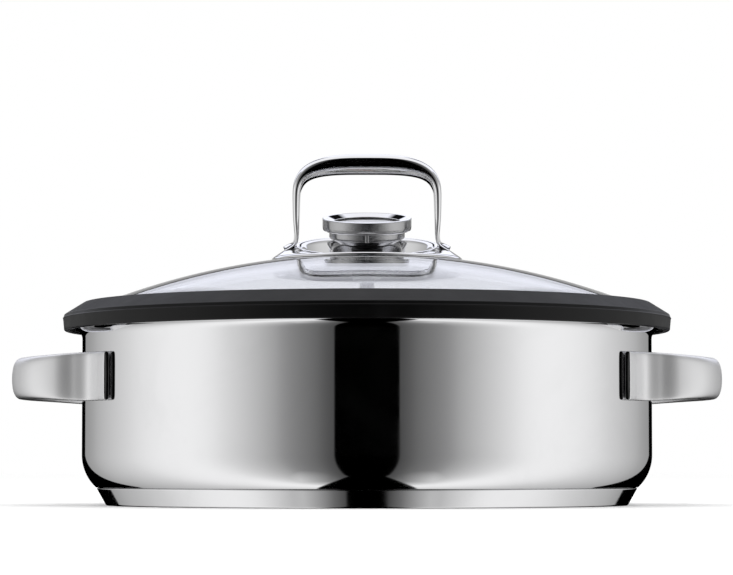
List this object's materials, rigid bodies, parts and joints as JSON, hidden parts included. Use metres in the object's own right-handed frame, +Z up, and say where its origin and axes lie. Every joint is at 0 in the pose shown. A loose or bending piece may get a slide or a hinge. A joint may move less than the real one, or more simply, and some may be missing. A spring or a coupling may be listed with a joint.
{
  "type": "steamer pot",
  "caption": "Low round polished steel steamer pot with loop side handles, a lift-out perforated tray and a domed glass lid with silicone rim, bridge handle and leaning dial thermometer.",
  "frame": {"origin": "centre of the base's underside, on the table", "axes": "+X along the line through both side handles, to the right as seen from the front; +Y to the back, away from the side the dial leans towards; +Z up"},
  "size_m": [0.3522, 0.302, 0.175],
  "materials": {
    "polished_steel": "mirror polished stainless steel",
    "satin_steel": "satin stainless steel",
    "core_aluminium": "plain",
    "silicone": "matte charcoal silicone",
    "lid_glass": "clear toughened glass",
    "dial_enamel": "matte white with printed scale",
    "needle_paint": "matte red",
    "bimetal": "plain strip"
  },
  "bodies": {
    "pot": {"pot_body": "polished_steel", "base_cap": "polished_steel", "base_core": "core_aluminium", "side_handle_left": "satin_steel", "side_handle_right": "satin_steel"},
    "tray": {"steam_tray": "satin_steel", "tray_foot_front_left": "satin_steel", "tray_foot_front_right": "satin_steel", "tray_foot_back_left": "satin_steel", "tray_foot_back_right": "satin_steel", "bail_clip_left": "satin_steel", "bail_clip_right": "satin_steel"},
    "bail_left": {"tray_bail_left": "satin_steel"},
    "bail_right": {"tray_bail_right": "satin_steel"},
    "lid": {"lid_glass": "lid_glass", "lid_seal": "silicone", "lid_collar": "polished_steel", "collar_gasket": "silicone", "lid_handle": "polished_steel", "thermometer_case": "satin_steel", "thermometer_bezel": "satin_steel", "thermometer_lens": "lid_glass", "thermometer_dial": "dial_enamel", "thermometer_gland": "silicone", "thermometer_stem": "satin_steel", "thermometer_washer": "silicone", "thermometer_nut": "polished_steel", "bimetal_coil": "bimetal"},
    "pointer": {"needle_shaft": "satin_steel", "needle": "needle_paint"}
  },
  "joints": [
    {"name": "tray_lift", "type": "slide", "parent": "pot", "child": "tray", "axis": [0, 0, 1], "range_m": [0, 0.15]},
    {"name": "lid_lift", "type": "slide", "parent": "tray", "child": "lid", "axis": [0, 0, 1], "range_m": [0, 0.2]},
    {"name": "bail_left_fold", "type": "hinge", "parent": "tray", "child": "bail_left", "pos_m": [-0.11785, 0, 0.0419], "axis": [0, -1, 0], "range_deg": [0, 100]},
    {"name": "bail_right_fold", "type": "hinge", "parent": "tray", "child": "bail_right", "pos_m": [0.11785, 0, 0.0419], "axis": [0, 1, 0], "range_deg": [0, 100]},
    {"name": "needle_turn", "type": "hinge", "parent": "lid", "child": "pointer", "pos_m": [0, 0, 0.1223], "axis": [0, 0.1994, -0.9799], "range_deg": [0, 270]}
  ]
}
